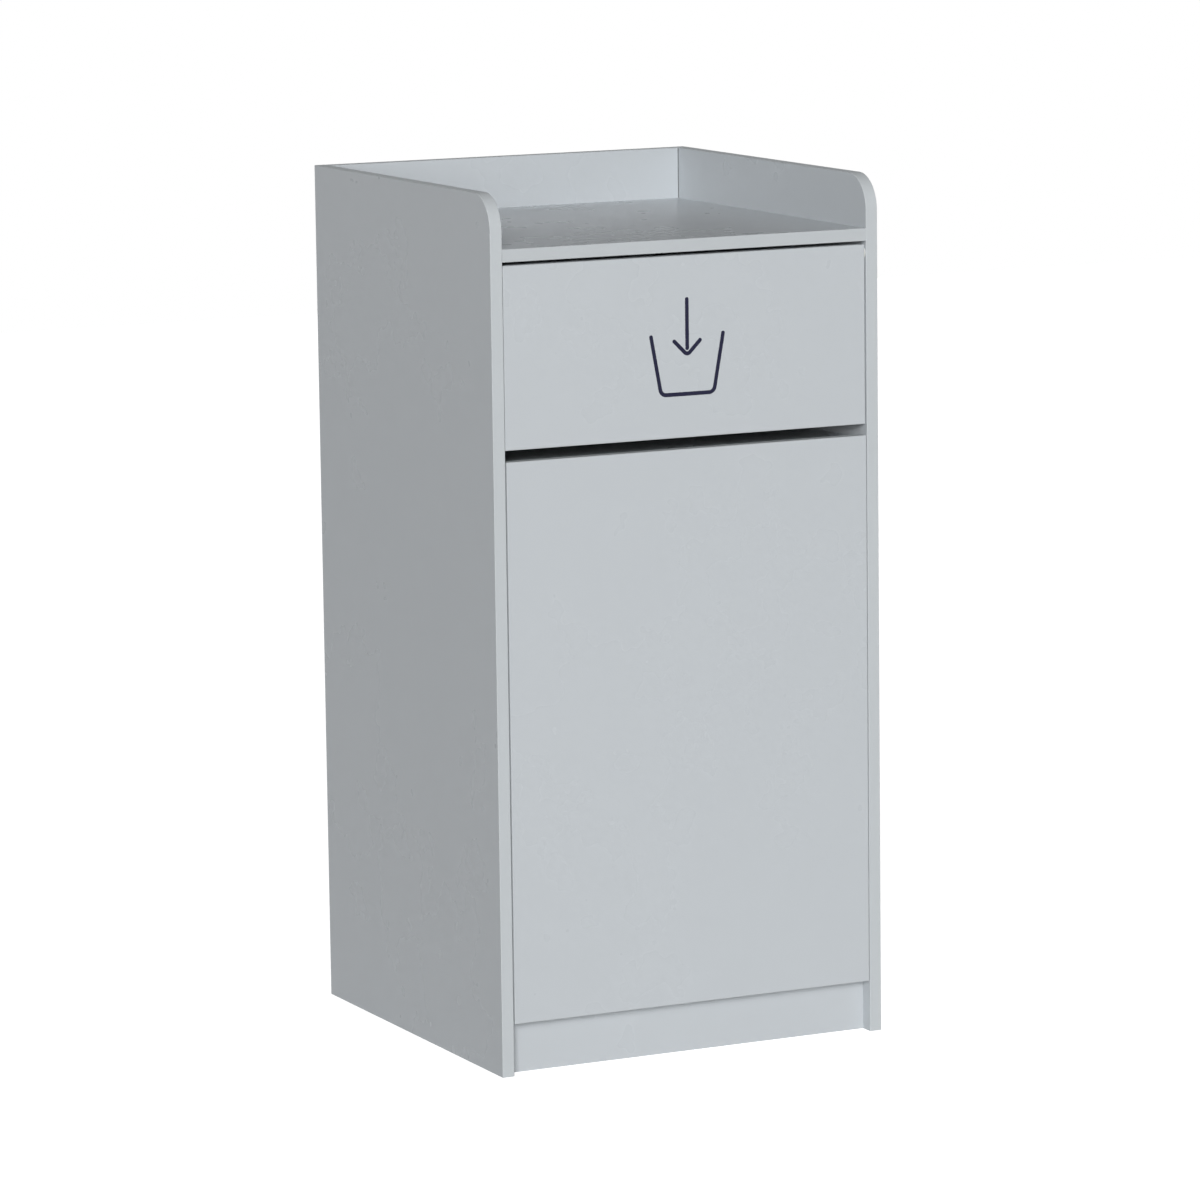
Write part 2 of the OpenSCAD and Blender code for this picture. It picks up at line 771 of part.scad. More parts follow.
// Tub that tapers because its corner radius grows with height
module tub(r0, r1, h) {
    w = bin_core_w / 2;
    d = bin_core_d / 2;
    for (x = [-1, 1]) for (y = [-1, 1])
        translate([x * w, y * d, 0]) cylinder(r1 = r0, r2 = r1, h = h, $fn = 96);
    translate([0, d, 0]) rotate([90, 0, 0]) linear_extrude(2 * d)
        polygon([[-w - r0, 0], [w + r0, 0], [w + r1, h], [-w - r1, h]]);
    translate([-w, 0, 0]) rotate([90, 0, 90]) linear_extrude(2 * w)
        polygon([[-d - r0, 0], [d + r0, 0], [d + r1, h], [-d - r1, h]]);
}

// Radius of the wall corner at a height above the foot
function bin_r(z) = bin_r_low + (bin_r_high - bin_r_low) * z / bin_h;

module waste_bin() {
    floor_z = bin_foot + bin_wall;
    color(bin_grey) translate([0, bin_y, deck_z]) difference() {
        union() {
            tub(bin_r_low, bin_r_high, bin_h);
            translate([0, 0, bin_h - rim_t]) linear_extrude(rim_t)
                round_core(bin_r_high + rim_w);
            translate([0, 0, bin_h - rim_lip]) linear_extrude(rim_lip) difference() {
                round_core(bin_r_high + rim_w);
                round_core(bin_r_high + rim_w - bin_wall);
            }
        }
        // Inside of the tub
        translate([0, 0, floor_z]) tub(bin_r(floor_z) - bin_wall,
            bin_r_high - bin_wall + (bin_r_high - bin_r_low) * over / bin_h,
            bin_h - floor_z + over);
        // Recess under the floor, inside the foot rim
        translate([0, 0, -over]) linear_extrude(bin_foot + over)
            round_core(bin_r_low - foot_w);
    }
}

left_side_panel();
right_side_panel();
back_panel();
tray_shelf();
bottom_deck();
toe_kick();
side_edge_bands();
tray_edge_band();
back_edge_band();
cam_locks();
cam_bolts();
dowels();
flap_bushes();
hinge_plates();
hinge_plate_screws();
hinge_arms();
hinge_arm_screws();
catch_housing();
catch_magnet();
catch_screws();
waste_bin();
door_panel();
door_edge_bands();
hinge_cups();
hinge_cup_screws();
hinge_pins();
strike_plate();
strike_screw();
flap_panel();
flap_edge_bands();
flap_pins();
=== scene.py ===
import logging
import math
from dataclasses import dataclass, field
from enum import Enum
from typing import Protocol

import bpy
import numpy as np
from mathutils import Matrix, Vector


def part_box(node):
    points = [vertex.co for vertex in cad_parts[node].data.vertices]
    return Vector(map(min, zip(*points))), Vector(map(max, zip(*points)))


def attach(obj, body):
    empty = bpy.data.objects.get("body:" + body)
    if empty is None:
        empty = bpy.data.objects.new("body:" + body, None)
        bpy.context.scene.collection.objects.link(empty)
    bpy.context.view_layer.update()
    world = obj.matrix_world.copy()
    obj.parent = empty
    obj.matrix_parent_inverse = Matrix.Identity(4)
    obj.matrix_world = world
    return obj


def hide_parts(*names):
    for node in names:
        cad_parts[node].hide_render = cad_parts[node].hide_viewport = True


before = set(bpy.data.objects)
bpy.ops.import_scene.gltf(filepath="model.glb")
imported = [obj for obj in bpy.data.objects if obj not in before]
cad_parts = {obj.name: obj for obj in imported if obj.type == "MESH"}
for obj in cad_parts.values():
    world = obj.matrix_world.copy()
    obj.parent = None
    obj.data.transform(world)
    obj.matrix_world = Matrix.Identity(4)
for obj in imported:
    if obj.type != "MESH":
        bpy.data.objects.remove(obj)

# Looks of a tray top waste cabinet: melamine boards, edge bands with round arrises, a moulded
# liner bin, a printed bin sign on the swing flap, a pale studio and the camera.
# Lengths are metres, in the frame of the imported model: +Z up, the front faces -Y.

LOG = logging.getLogger("waste_cabinet")
MM = 0.001
WHITE = (1.0, 1.0, 1.0, 1.0)

Socket = bpy.types.NodeSocket
Tree = bpy.types.NodeTree
Material = bpy.types.Material
Piece = bpy.types.Object
Colour = tuple[float, ...]
Pair = tuple[float, float]
Triple = tuple[float, float, float]


class Body(Enum):
    """Rigid bodies that a piece can ride on."""

    CABINET = "cabinet"
    DOOR = "door"
    FLAP = "flap"


class Axis(Enum):
    """Axes of the frame, by their place in a vector."""

    X = 0
    Y = 1
    Z = 2


def srgb(red: int, green: int, blue: int) -> Colour:
    """Turn display levels into the linear colour that a shader socket takes.

    The display curve is straight up to 0.04045 and a power of 2.4 above.

    Args:
        red: Level of red from 0 to 255.
        green: Level of green from 0 to 255.
        blue: Level of blue from 0 to 255.

    Returns:
        The linear colour with an alpha of 1.
    """
    level = np.array([red, green, blue]) / 255.0
    linear = np.where(level <= 0.04045, level / 12.92, ((level + 0.055) / 1.055) ** 2.4)
    return (*[float(c) for c in linear], 1.0)


def scaled(colour: Colour, factor: float) -> Colour:
    """Linear colour whose red, green and blue are multiplied by the factor."""
    return (*[min(c * factor, 1.0) for c in colour[:3]], 1.0)


def add_object(name: str, data: bpy.types.ID) -> Piece:
    """Put mesh, camera or lamp data into the scene as an object.

    Args:
        name: Name of the object.
        data: What it shows.

    Returns:
        The new object.
    """
    made = bpy.data.objects.new(name, data)
    bpy.context.scene.collection.objects.link(made)
    return made


def unit(rows: np.ndarray) -> np.ndarray:
    """Vectors, one per row, divided by their length."""
    return rows / np.linalg.norm(rows, axis=-1, keepdims=True)


def sight(azimuth: float, elevation: float) -> Vector:
    """Unit direction outward, by degrees round from the front and above the horizon."""
    a, e = math.radians(azimuth), math.radians(elevation)
    return Vector((math.sin(a) * math.cos(e), -math.cos(a) * math.cos(e), math.sin(e)))


class Sheet:
    """Short ways to place and join the nodes of one node tree."""

    def __init__(self, tree: Tree) -> None:
        """Take the tree that the nodes go into and empty it."""
        self.tree = tree
        tree.nodes.clear()

    def fill(self, node: bpy.types.Node, values: dict) -> None:
        """Set or link the inputs of a node.

        Args:
            node: The node.
            values: Constants or sockets for its inputs, by input name or number.
        """
        for key, value in values.items():
            if isinstance(value, Socket):
                self.tree.links.new(value, node.inputs[key])
            else:
                node.inputs[key].default_value = value

    def node(self, kind: str, values: dict | None = None, **settings) -> bpy.types.Node:
        """Place a node.

        Args:
            kind: Blender's name of the node type.
            values: Constants or sockets for its inputs, by input name or number.
            **settings: Properties of the node itself.

        Returns:
            The new node.
        """
        made = self.tree.nodes.new(kind)
        for name, value in settings.items():
            setattr(made, name, value)
        self.fill(made, values or {})
        return made

    def math(self, operation: str, *terms: object) -> Socket:
        """Result of a Math node for numbers or sockets, in the node's order."""
        values = dict(enumerate(terms))
        return self.node("ShaderNodeMath", values, operation=operation).outputs[0]

    def remap(self, value: Socket, source: Pair, target: Pair = (0.0, 1.0)) -> Socket:
        """Value stretched from the source range to the target range and clamped."""
        numbers = {"Value": value, "From Min": source[0], "From Max": source[1],
                   "To Min": target[0], "To Max": target[1]}
        return self.node("ShaderNodeMapRange", numbers).outputs["Result"]

    def blend(self, factor: Socket, first: object, second: object) -> Socket:
        """Colour that is the first where the factor is 0 and the second where it is 1."""
        mix = self.node("ShaderNodeMix", {0: factor, 6: first, 7: second}, data_type="RGBA")
        return mix.outputs[2]


class EffectGroups:
    """Node groups for the effects that several finishes share. Each is built once."""

    broad_detail: float = 3.0
    fine_detail: float = 2.0
    fine_ratio: float = 7.3
    fine_share: float = 0.33
    cloud_range: Pair = (0.3, 0.7)
    soft_ratio: float = 0.5
    line_squeeze: float = 0.06
    line_detail: float = 4.0
    line_bend: float = 0.4

    def __init__(self) -> None:
        """Build every group."""
        self.mottle = self._make_mottle()
        self.press = self._make_press()
        self.scratches = self._make_scratches()

    @staticmethod
    def _start(name: str, output: str, **inputs: float) -> tuple[Sheet, dict[str, Socket]]:
        """Open a group with a vector input, number inputs and one number output.

        Args:
            name: Name of the group.
            output: Name of the number that the group puts out.
            **inputs: Default of each number input.

        Returns:
            The sheet of the group and its inputs by name.
        """
        tree = bpy.data.node_groups.new(name, "ShaderNodeTree")
        face = tree.interface
        face.new_socket("Vector", in_out="INPUT", socket_type="NodeSocketVector")
        for title, default in inputs.items():
            socket = face.new_socket(title, in_out="INPUT", socket_type="NodeSocketFloat")
            socket.default_value = default
        face.new_socket(output, in_out="OUTPUT", socket_type="NodeSocketFloat")
        sheet = Sheet(tree)
        given = sheet.node("NodeGroupInput").outputs
        return sheet, {title: given[title] for title in ("Vector", *inputs)}

    def _make_mottle(self) -> Tree:
        """Slow cloudy change from 0 to 1: two sizes of noise, the fine one at a third.

        Returns:
            The group.
        """
        sheet, given = self._start("CloudyMottle", "Mask", Scale=5.0)
        broad = sheet.node("ShaderNodeTexNoise", {**given, "Detail": self.broad_detail})
        fine_scale = sheet.math("MULTIPLY", given["Scale"], self.fine_ratio)
        fine = sheet.node("ShaderNodeTexNoise", {
            "Vector": given["Vector"], "Scale": fine_scale, "Detail": self.fine_detail})
        third = sheet.math("MULTIPLY", fine.outputs["Fac"], self.fine_share)
        both = sheet.math("MULTIPLY_ADD", broad.outputs["Fac"], 1.0 - self.fine_share, third)
        sheet.node("NodeGroupOutput", {"Mask": sheet.remap(both, self.cloud_range)})
        return sheet.tree

    def _make_press(self) -> Tree:
        """Height of a pressed or moulded skin: small cells softened by noise of twice the size.

        Returns:
            The group.
        """
        sheet, given = self._start("PressedSkin", "Height", Scale=900.0)
        cells = sheet.node("ShaderNodeTexVoronoi", given, feature="SMOOTH_F1")
        noise_scale = sheet.math("MULTIPLY", given["Scale"], self.soft_ratio)
        noise = sheet.node("ShaderNodeTexNoise", {
            "Vector": given["Vector"], "Scale": noise_scale, "Detail": self.fine_detail})
        height = sheet.math("MULTIPLY", cells.outputs["Distance"], noise.outputs["Fac"])
        sheet.node("NodeGroupOutput", {"Height": height})
        return sheet.tree

    def _make_scratches(self) -> Tree:
        """Mask of thin lines: noise stretched along Z, kept where it lies near its middle.

        Returns:
            The group.
        """
        sheet, given = self._start("FineScratches", "Mask", Scale=60.0, Width=0.02)
        squeezed = sheet.node("ShaderNodeMapping", {
            "Vector": given["Vector"], "Scale": (1.0, 1.0, self.line_squeeze)})
        noise = sheet.node("ShaderNodeTexNoise", {
            "Vector": squeezed.outputs["Vector"], "Scale": given["Scale"],
            "Detail": self.line_detail, "Distortion": self.line_bend})
        off_middle = sheet.math("ABSOLUTE", sheet.math("SUBTRACT", noise.outputs["Fac"], 0.5))
        line = sheet.math("LESS_THAN", off_middle, given["Width"])
        sheet.node("NodeGroupOutput", {"Mask": line})
        return sheet.tree


class Clouded(Protocol):
    """What a look holds for slow clouds: two ends of its colour and of its roughness."""

    tone: Colour
    tone_change: float
    cloud_scale: float
    rough: Pair


class MaterialDraft:
    """A material under construction: its sheet, its shader and its object coordinates."""

    def __init__(self, name: str, groups: EffectGroups) -> None:
        """Open a material with a Principled shader.

        Args:
            name: Name of the material.
            groups: The shared effects.
        """
        self.material = bpy.data.materials.new(name)
        self.material.use_nodes = True
        self.groups = groups
        self.sheet = Sheet(self.material.node_tree)
        self.shader = self.sheet.node("ShaderNodeBsdfPrincipled")
        self.sheet.node("ShaderNodeOutputMaterial", {"Surface": self.shader.outputs["BSDF"]})
        self.coords = self.sheet.node("ShaderNodeTexCoord")
        self.place = self.coords.outputs["Object"]

    def effect(self, group: Tree, **values: float) -> Socket:
        """Mask or height of a shared effect on the object coordinates, with its own numbers."""
        inputs = {"Vector": self.place, **values}
        return self.sheet.node("ShaderNodeGroup", inputs, node_tree=group).outputs[0]

    def set(self, **values: object) -> None:
        """Set or link inputs of the shader. An underscore in a name stands for a space."""
        named = {name.replace("_", " "): value for name, value in values.items()}
        self.sheet.fill(self.shader, named)

    def bump(self, height: Socket, depth: float) -> None:
        """Give the surface a relief of that height, from 0 to 1, and real depth in metres."""
        relief = {"Height": height, "Distance": depth, "Strength": 1.0}
        self.set(Normal=self.sheet.node("ShaderNodeBump", relief).outputs["Normal"])

    def skin(self, scale: float, depth: float) -> None:
        """Give the surface the relief of a pressed skin of that scale and depth."""
        self.bump(self.effect(self.groups.press, Scale=scale), depth)

    def clouded(self, look: Clouded) -> tuple[Socket, Socket, Socket]:
        """Vary the colour and the roughness slowly over the piece.

        Args:
            look: The finish that holds both and their clouds.

        Returns:
            The cloudy mask, the colour and the roughness.
        """
        mask = self.effect(self.groups.mottle, Scale=look.cloud_scale)
        colour = self.sheet.blend(mask, look.tone, scaled(look.tone, look.tone_change))
        return mask, colour, self.sheet.remap(mask, (0.0, 1.0), look.rough)


class Finish:
    """A look whose subclass says how it dresses a draft."""

    def dress(self, draft: MaterialDraft) -> None:
        """Set the shader of the draft."""
        raise NotImplementedError

    def build(self, name: str, groups: EffectGroups) -> Material:
        """Make the material.

        Args:
            name: Name of the material.
            groups: The shared effects.

        Returns:
            The finished material.
        """
        draft = MaterialDraft(name, groups)
        self.dress(draft)
        return draft.material


@dataclass(frozen=True)
class MelamineFinish:
    """Melamine facing on both faces of a board and bare chipboard on its cut edges."""

    tone: Colour = srgb(193, 198, 202)
    chip_dark: Colour = srgb(143, 112, 76)
    chip_light: Colour = srgb(201, 172, 128)
    tone_change: float = 0.985
    cloud_scale: float = 2.5
    press_scale: float = 900.0
    press_depth: float = 0.006 * MM
    chip_scale: float = 420.0
    chip_relief: float = 6.0
    chip_rough: float = 0.95
    edge_turn: float = 0.5
    paper: float = 0.25 * MM
    rough: Pair = (0.255, 0.305)
    specular: float = 0.5
    joint_shadow_width: float = 1.2 * MM
    joint_shadow_level: float = 0.2

    def build(self, name: str, groups: EffectGroups, thick: Axis, low: float,
              high: float, half_length: float | None = None) -> Material:
        """Make the material of one board.

        The core shows where the object normal lies across the thickness by less than a half,
        apart from the paper's own thickness at the two faces. A board that is butted between
        the sides gets a painted shadow line at both its ends along X: the facing is darkened
        where the shade of the joint falls.

        Args:
            name: Name of the material.
            groups: The shared effects.
            thick: Axis over the thickness of the board.
            low: Lower face of the board along that axis.
            high: Upper face of the board along that axis.
            half_length: Distance from the middle to the joints along X, or none.

        Returns:
            The finished material.
        """
        draft = MaterialDraft(name, groups)
        sheet = draft.sheet
        _, facing, satin = draft.clouded(self)
        chips = sheet.node("ShaderNodeTexVoronoi", {
            "Vector": draft.place, "Scale": self.chip_scale})
        grey = sheet.node("ShaderNodeSeparateColor", {0: chips.outputs["Color"]}).outputs[0]
        core = sheet.blend(grey, self.chip_dark, self.chip_light)
        normal = sheet.node("ShaderNodeSeparateXYZ", {0: draft.coords.outputs["Normal"]})
        spot = sheet.node("ShaderNodeSeparateXYZ", {0: draft.place})
        along = sheet.math("ABSOLUTE", normal.outputs[thick.value])
        edge = sheet.math("LESS_THAN", along, self.edge_turn)
        middle = (low + high) / 2
        from_middle = sheet.math("ABSOLUTE", sheet.math(
            "SUBTRACT", spot.outputs[thick.value], middle))
        inside = sheet.math("LESS_THAN", from_middle, (high - low) / 2 - self.paper)
        bare = sheet.math("MULTIPLY", edge, inside)
        # Painted shadow: the facing is darkened in a thin line at the joints, where shade falls
        # between the boards.
        if half_length:
            reach = sheet.math("ABSOLUTE", spot.outputs[0])
            line = sheet.math("GREATER_THAN", reach, half_length - self.joint_shadow_width)
            facing = sheet.blend(line, facing, scaled(self.tone, self.joint_shadow_level))
        draft.set(Base_Color=sheet.blend(bare, facing, core))
        rough = sheet.math("MAXIMUM", satin, sheet.math("MULTIPLY", bare, self.chip_rough))
        draft.set(Roughness=rough, Specular_IOR_Level=self.specular)
        press = draft.effect(groups.press, Scale=self.press_scale)
        coarse = sheet.math("MULTIPLY", sheet.math("MULTIPLY", bare, grey), self.chip_relief)
        draft.bump(sheet.math("ADD", press, coarse), self.press_depth)
        return draft.material


@dataclass(frozen=True)
class BandFinish(Finish):
    """Plastic edge band in the board's colour with a thin glue line.

    The attribute glue is 1 where the band meets the board.
    """

    tone: Colour = srgb(193, 198, 201)
    tone_change: float = 0.98
    cloud_scale: float = 9.0
    glue: Colour = srgb(150, 153, 155)
    glue_range: Pair = (0.35, 0.9)
    rough: Pair = (0.46, 0.54)
    specular: float = 0.15
    drag_scale: float = 1400.0
    drag_depth: float = 0.005 * MM

    def dress(self, draft: MaterialDraft) -> None:
        """Darken the glue line and give the strip its fine drag marks.

        Args:
            draft: The material under construction.
        """
        _, plain, rough = draft.clouded(self)
        seam = draft.sheet.node("ShaderNodeAttribute", attribute_name="glue").outputs["Fac"]
        line = draft.sheet.remap(seam, self.glue_range)
        draft.set(Base_Color=draft.sheet.blend(line, plain, self.glue))
        draft.set(Roughness=rough, Specular_IOR_Level=self.specular)
        draft.skin(self.drag_scale, self.drag_depth)


@dataclass(frozen=True)
class MetalFinish(Finish):
    """Plated or cast metal with fine rubbing lines."""

    tone: Colour
    rough: Pair
    grain_scale: float
    grain_depth: float
    tone_change: float = 0.9
    cloud_scale: float = 40.0
    line_scale: float = 700.0
    line_width: float = 0.012
    line_rough: float = 0.14

    def dress(self, draft: MaterialDraft) -> None:
        """Roughen the metal in clouds and along the rubbing lines.

        Args:
            draft: The material under construction.
        """
        _, colour, rough = draft.clouded(self)
        lines = draft.effect(draft.groups.scratches, Scale=self.line_scale,
                             Width=self.line_width)
        worn = draft.sheet.math("MULTIPLY_ADD", lines, self.line_rough, rough)
        draft.set(Base_Color=colour, Metallic=1.0, Roughness=worn)
        draft.skin(self.grain_scale, self.grain_depth)


@dataclass(frozen=True)
class PlasticFinish(Finish):
    """Moulded plastic with a grained skin and rubbed marks."""

    tone: Colour
    rubbed: Colour
    rough: Pair
    grain_scale: float
    grain_depth: float
    tone_change: float = 0.92
    cloud_scale: float = 6.0
    mark_scale: float = 70.0
    mark_width: float = 0.004

    def dress(self, draft: MaterialDraft) -> None:
        """Draw the rubbed marks, stronger where the cloudy mask is high.

        Args:
            draft: The material under construction.
        """
        cloud, body, rough = draft.clouded(self)
        marks = draft.effect(draft.groups.scratches, Scale=self.mark_scale,
                             Width=self.mark_width)
        rub = draft.sheet.math("MULTIPLY", marks, cloud)
        draft.set(Base_Color=draft.sheet.blend(rub, body, self.rubbed), Roughness=rough)
        draft.skin(self.grain_scale, self.grain_depth)


@dataclass(frozen=True)
class BeechFinish(Finish):
    """Turned beech: pale wood with growth rings along the dowel and dark flecks."""

    pale: Colour = srgb(214, 182, 138)
    dark: Colour = srgb(173, 134, 92)
    rough: Pair = (0.6, 0.75)
    ring_scale: float = 160.0
    ring_bend: float = 5.0
    ring_detail: float = 3.0
    ring_depth: float = 0.05 * MM
    fleck_scale: float = 900.0
    fleck_width: float = 0.02

    def dress(self, draft: MaterialDraft) -> None:
        """Colour, roughen and raise the wood by its rings, then add the flecks.

        Args:
            draft: The material under construction.
        """
        sheet = draft.sheet
        rings = sheet.node("ShaderNodeTexWave", {
            "Vector": draft.place, "Scale": self.ring_scale,
            "Distortion": self.ring_bend, "Detail": self.ring_detail}).outputs["Fac"]
        flecks = draft.effect(draft.groups.scratches, Scale=self.fleck_scale,
                              Width=self.fleck_width)
        wood = sheet.blend(rings, self.pale, self.dark)
        draft.set(Base_Color=sheet.blend(flecks, wood, self.dark))
        draft.set(Roughness=sheet.remap(rings, (0.0, 1.0), self.rough))
        draft.bump(rings, self.ring_depth)


@dataclass(frozen=True)
class InkFinish(Finish):
    """Dark screen ink: satin, with a slightly uneven film."""

    tone: Colour = srgb(31, 31, 54)
    tone_change: float = 1.25
    cloud_scale: float = 30.0
    rough: Pair = (0.42, 0.55)
    specular: float = 0.4
    film_scale: float = 1600.0
    film_depth: float = 0.01 * MM

    def dress(self, draft: MaterialDraft) -> None:
        """Vary the film's colour and gloss slightly.

        Args:
            draft: The material under construction.
        """
        _, colour, rough = draft.clouded(self)
        draft.set(Base_Color=colour, Roughness=rough, Specular_IOR_Level=self.specular)
        draft.skin(self.film_scale, self.film_depth)


class Solid:
    """A closed surface as arrays: points, faces and one value per point."""

    def __init__(self) -> None:
        """Start with no points."""
        self.points = np.zeros((0, 3))
        self.faces: list[tuple[int, ...]] = []
        self.glue = np.zeros(0)

    def add_grid(self, grid: np.ndarray, glue: np.ndarray | None = None) -> None:
        """Add a tube of quads with a polygon over each end.

        The grid's first index runs along the tube and its second goes once round it. Each quad
        joins a point to its neighbour round the tube and to the two behind them. The sign of the
        enclosed volume tells whether the faces have to be turned round.

        Args:
            grid: Points with the shape (along, round, 3).
            glue: Value per point with the shape (along, round), or none.
        """
        along, rounds, _ = grid.shape
        index = np.arange(along * rounds).reshape(along, rounds)
        behind = np.roll(index, -1, axis=1)
        quads = np.stack([index[:-1], index[1:], behind[1:], behind[:-1]], axis=-1)
        faces = [tuple(quad) for quad in quads.reshape(-1, 4).tolist()]
        faces += [tuple(index[0].tolist()), tuple(index[-1][::-1].tolist())]
        points = grid.reshape(-1, 3)
        if self._volume(points, faces) < 0:
            faces = [face[::-1] for face in faces]
        start = len(self.points)
        self.points = np.concatenate([self.points, points])
        self.faces += [tuple(i + start for i in face) for face in faces]
        values = np.zeros(along * rounds) if glue is None else glue.reshape(-1)
        self.glue = np.concatenate([self.glue, values])

    @staticmethod
    def _volume(points: np.ndarray, faces: list[tuple[int, ...]]) -> float:
        """Six times the enclosed volume: the triple products of each face's fan, summed.

        Args:
            points: Points with the shape (n, 3).
            faces: Point numbers of each face.

        Returns:
            The volume, below zero where the faces point inwards.
        """
        fans = [(f[0], f[i], f[i + 1]) for f in faces for i in range(1, len(f) - 1)]
        a, b, c = (points[np.array(fans)[:, i]] for i in range(3))
        return float(np.einsum("ij,ij->i", a, np.cross(b, c)).sum())

    def to_object(self, name: str, sharp: float = 32.0) -> Piece:
        """Put the solid into a mesh object at the origin.

        Args:
            name: Name of the piece.
            sharp: Angle in degrees above which an edge stays sharp.

        Returns:
            The new object, linked to the scene.
        """
        mesh = bpy.data.meshes.new(name)
        mesh.from_pydata(self.points.tolist(), [], self.faces)
        mesh.polygons.foreach_set("use_smooth", np.ones(len(self.faces), dtype=bool))
        mesh.set_sharp_from_angle(angle=math.radians(sharp))
        mark = mesh.attributes.new("glue", "FLOAT", "POINT")
        mark.data.foreach_set("value", self.glue.astype(np.float32))
        mesh.validate()
        return add_object(name, mesh)


def arc(centre: Pair, radius: float, start: float, end: float, steps: int) -> np.ndarray:
    """Points on an arc: centre plus radius times cosine and sine of the angle in degrees."""
    turn = np.radians(np.linspace(start, end, steps + 1))
    return np.array(centre) + radius * np.stack([np.cos(turn), np.sin(turn)], axis=1)


@dataclass
class EdgeBand:
    """One strip of edge band with two round arrises, carried along the edge of a board."""

    thickness: float = 1.0 * MM
    arris: float = 0.85 * MM
    arris_steps: int = 6
    support: float = 0.15 * MM

    def section(self, width: float) -> tuple[np.ndarray, np.ndarray]:
        """Outline across the strip: a flat with a quarter circle at each side.

        Args:
            width: Thickness of the board.

        Returns:
            Points as (across, outward) and their glue value, 1 at the board's side.
        """
        half = width / 2
        low = self.thickness - self.arris
        left = arc((-half + self.arris, low), self.arris, 180, 90, self.arris_steps)
        right = arc((half - self.arris, low), self.arris, 90, 0, self.arris_steps)
        near = (half - self.arris - self.support, self.thickness)
        outline = np.concatenate([
            [(-half, 0.0)], left, [(-near[0], near[1])], [near], right, [(half, 0.0)]])
        glue = np.zeros(len(outline))
        glue[[0, -1]] = 1.0
        return outline, glue

    def lay(self, solid: Solid, path: np.ndarray, outward: np.ndarray, across: Axis,
            width: float) -> None:
        """Add the strip to a solid.

        A point is the path's point plus the outline's two values times across and outward.

        Args:
            solid: What the strip is added to.
            path: Points on the board's edge, with the shape (n, 3).
            outward: Unit directions away from the board, with the shape (n, 3).
            across: Axis over the thickness of the board.
            width: Thickness of the board.
        """
        outline, glue = self.section(width)
        side = np.eye(3)[across.value]
        grid = (path[:, None, :] + outline[None, :, :1] * side
                + outline[None, :, 1:] * outward[:, None, :])
        solid.add_grid(grid, np.tile(glue, (len(path), 1)))


@dataclass
class CabinetBands:
    """Edge bands of the two sides, the tray, the back, the door and the flap."""

    band: EdgeBand = field(default_factory=EdgeBand)
    corner_radius: float = 50.0 * MM
    corner_steps: int = 28

    def side_route(self, x: float, low: Vector, high: Vector) -> tuple[np.ndarray, np.ndarray]:
        """Route up the front, round the corner and along the top of a side panel.

        On the corner the outward direction turns from -Y to +Z, and the point is the corner's
        centre plus the inner radius times that direction.

        Args:
            x: Middle of the panel's thickness.
            low: Lowest corner of the bands.
            high: Highest corner of the bands.

        Returns:
            Points and outward directions with the shape (n, 3).
        """
        turn = np.radians(np.linspace(180, 90, self.corner_steps + 1))
        way = np.stack([np.zeros_like(turn), np.cos(turn), np.sin(turn)], axis=1)
        centre = np.array([x, low.y + self.corner_radius, high.z - self.corner_radius])
        bend = centre + (self.corner_radius - self.band.thickness) * way
        foot = [x, low.y + self.band.thickness, low.z]
        rear = [x, high.y, high.z - self.band.thickness]
        path = np.concatenate([[foot], bend, [rear]])
        outward = np.concatenate([way[:1], way, way[-1:]])
        return path, outward

    def sides(self) -> Solid:
        """Lay the bands of both side panels.

        Returns:
            Both bands as one solid.
        """
        low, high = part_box("side_edge_bands")
        solid = Solid()
        for panel in ("left_side_panel", "right_side_panel"):
            inner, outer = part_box(panel)
            path, outward = self.side_route((inner.x + outer.x) / 2, low, high)
            self.band.lay(solid, path, outward, Axis.X, outer.x - inner.x)
        return solid

    def strip(self, solid: Solid, node: str, along: Axis, facing: Axis, sign: int,
              inset: float = 0.0) -> None:
        """Add a straight strip, on one side of the box of its node.

        Its foot lies the band's thickness inside that side, in the middle of the third axis.

        Args:
            solid: What the strip is added to.
            node: Name of the bands' node.
            along: Axis that the strip runs along.
            facing: Axis that the strip faces along.
            sign: 1 for the high side of the box, -1 for the low side.
            inset: How far the strip stays short of both ends of the box.
        """
        low, high = (np.array(corner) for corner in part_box(node))
        across = next(axis for axis in Axis if axis not in (along, facing))
        outward = sign * np.eye(3)[facing.value]
        side = (high if sign > 0 else low)[facing.value]
        path = np.array([low + high, low + high]) / 2
        path[:, along.value] = low[along.value] + inset, high[along.value] - inset
        path[:, facing.value] = side - sign * self.band.thickness
        width = (high - low)[across.value]
        self.band.lay(solid, path, np.array([outward, outward]), across, width)

    def build(self, material: Material, tray_shaded_material: Material) -> None:
        """Make, dress and place every band.

        A front has two upright strips and two between them. The entry without straight strips
        is the pair of side bands, which go round a corner.

        Args:
            material: Finish of the bands.
            tray_shaded_material: Finish of the tray's band, a darker copy of the band finish that
                paints shade on the tray's front edge.
        """
        ends = self.band.thickness
        front = [(Axis.Z, Axis.X, -1), (Axis.Z, Axis.X, 1),
                 (Axis.X, Axis.Z, -1, ends), (Axis.X, Axis.Z, 1, ends)]
        made = [
            ("tray_edge_band", "tray_band_rounded", Body.CABINET, [(Axis.X, Axis.Y, -1)]),
            ("side_edge_bands", "side_bands_rounded", Body.CABINET, []),
            ("back_edge_band", "back_band_rounded", Body.CABINET, [(Axis.X, Axis.Z, 1)]),
            ("door_edge_bands", "door_bands_rounded", Body.DOOR, front),
            ("flap_edge_bands", "flap_bands_rounded", Body.FLAP, front),
        ]
        for node, name, body, strips in made:
            solid = Solid() if strips else self.sides()
            for strip in strips:
                self.strip(solid, node, *strip)
            look = tray_shaded_material if node == "tray_edge_band" else material
            place_piece(solid.to_object(name), look, body, node)


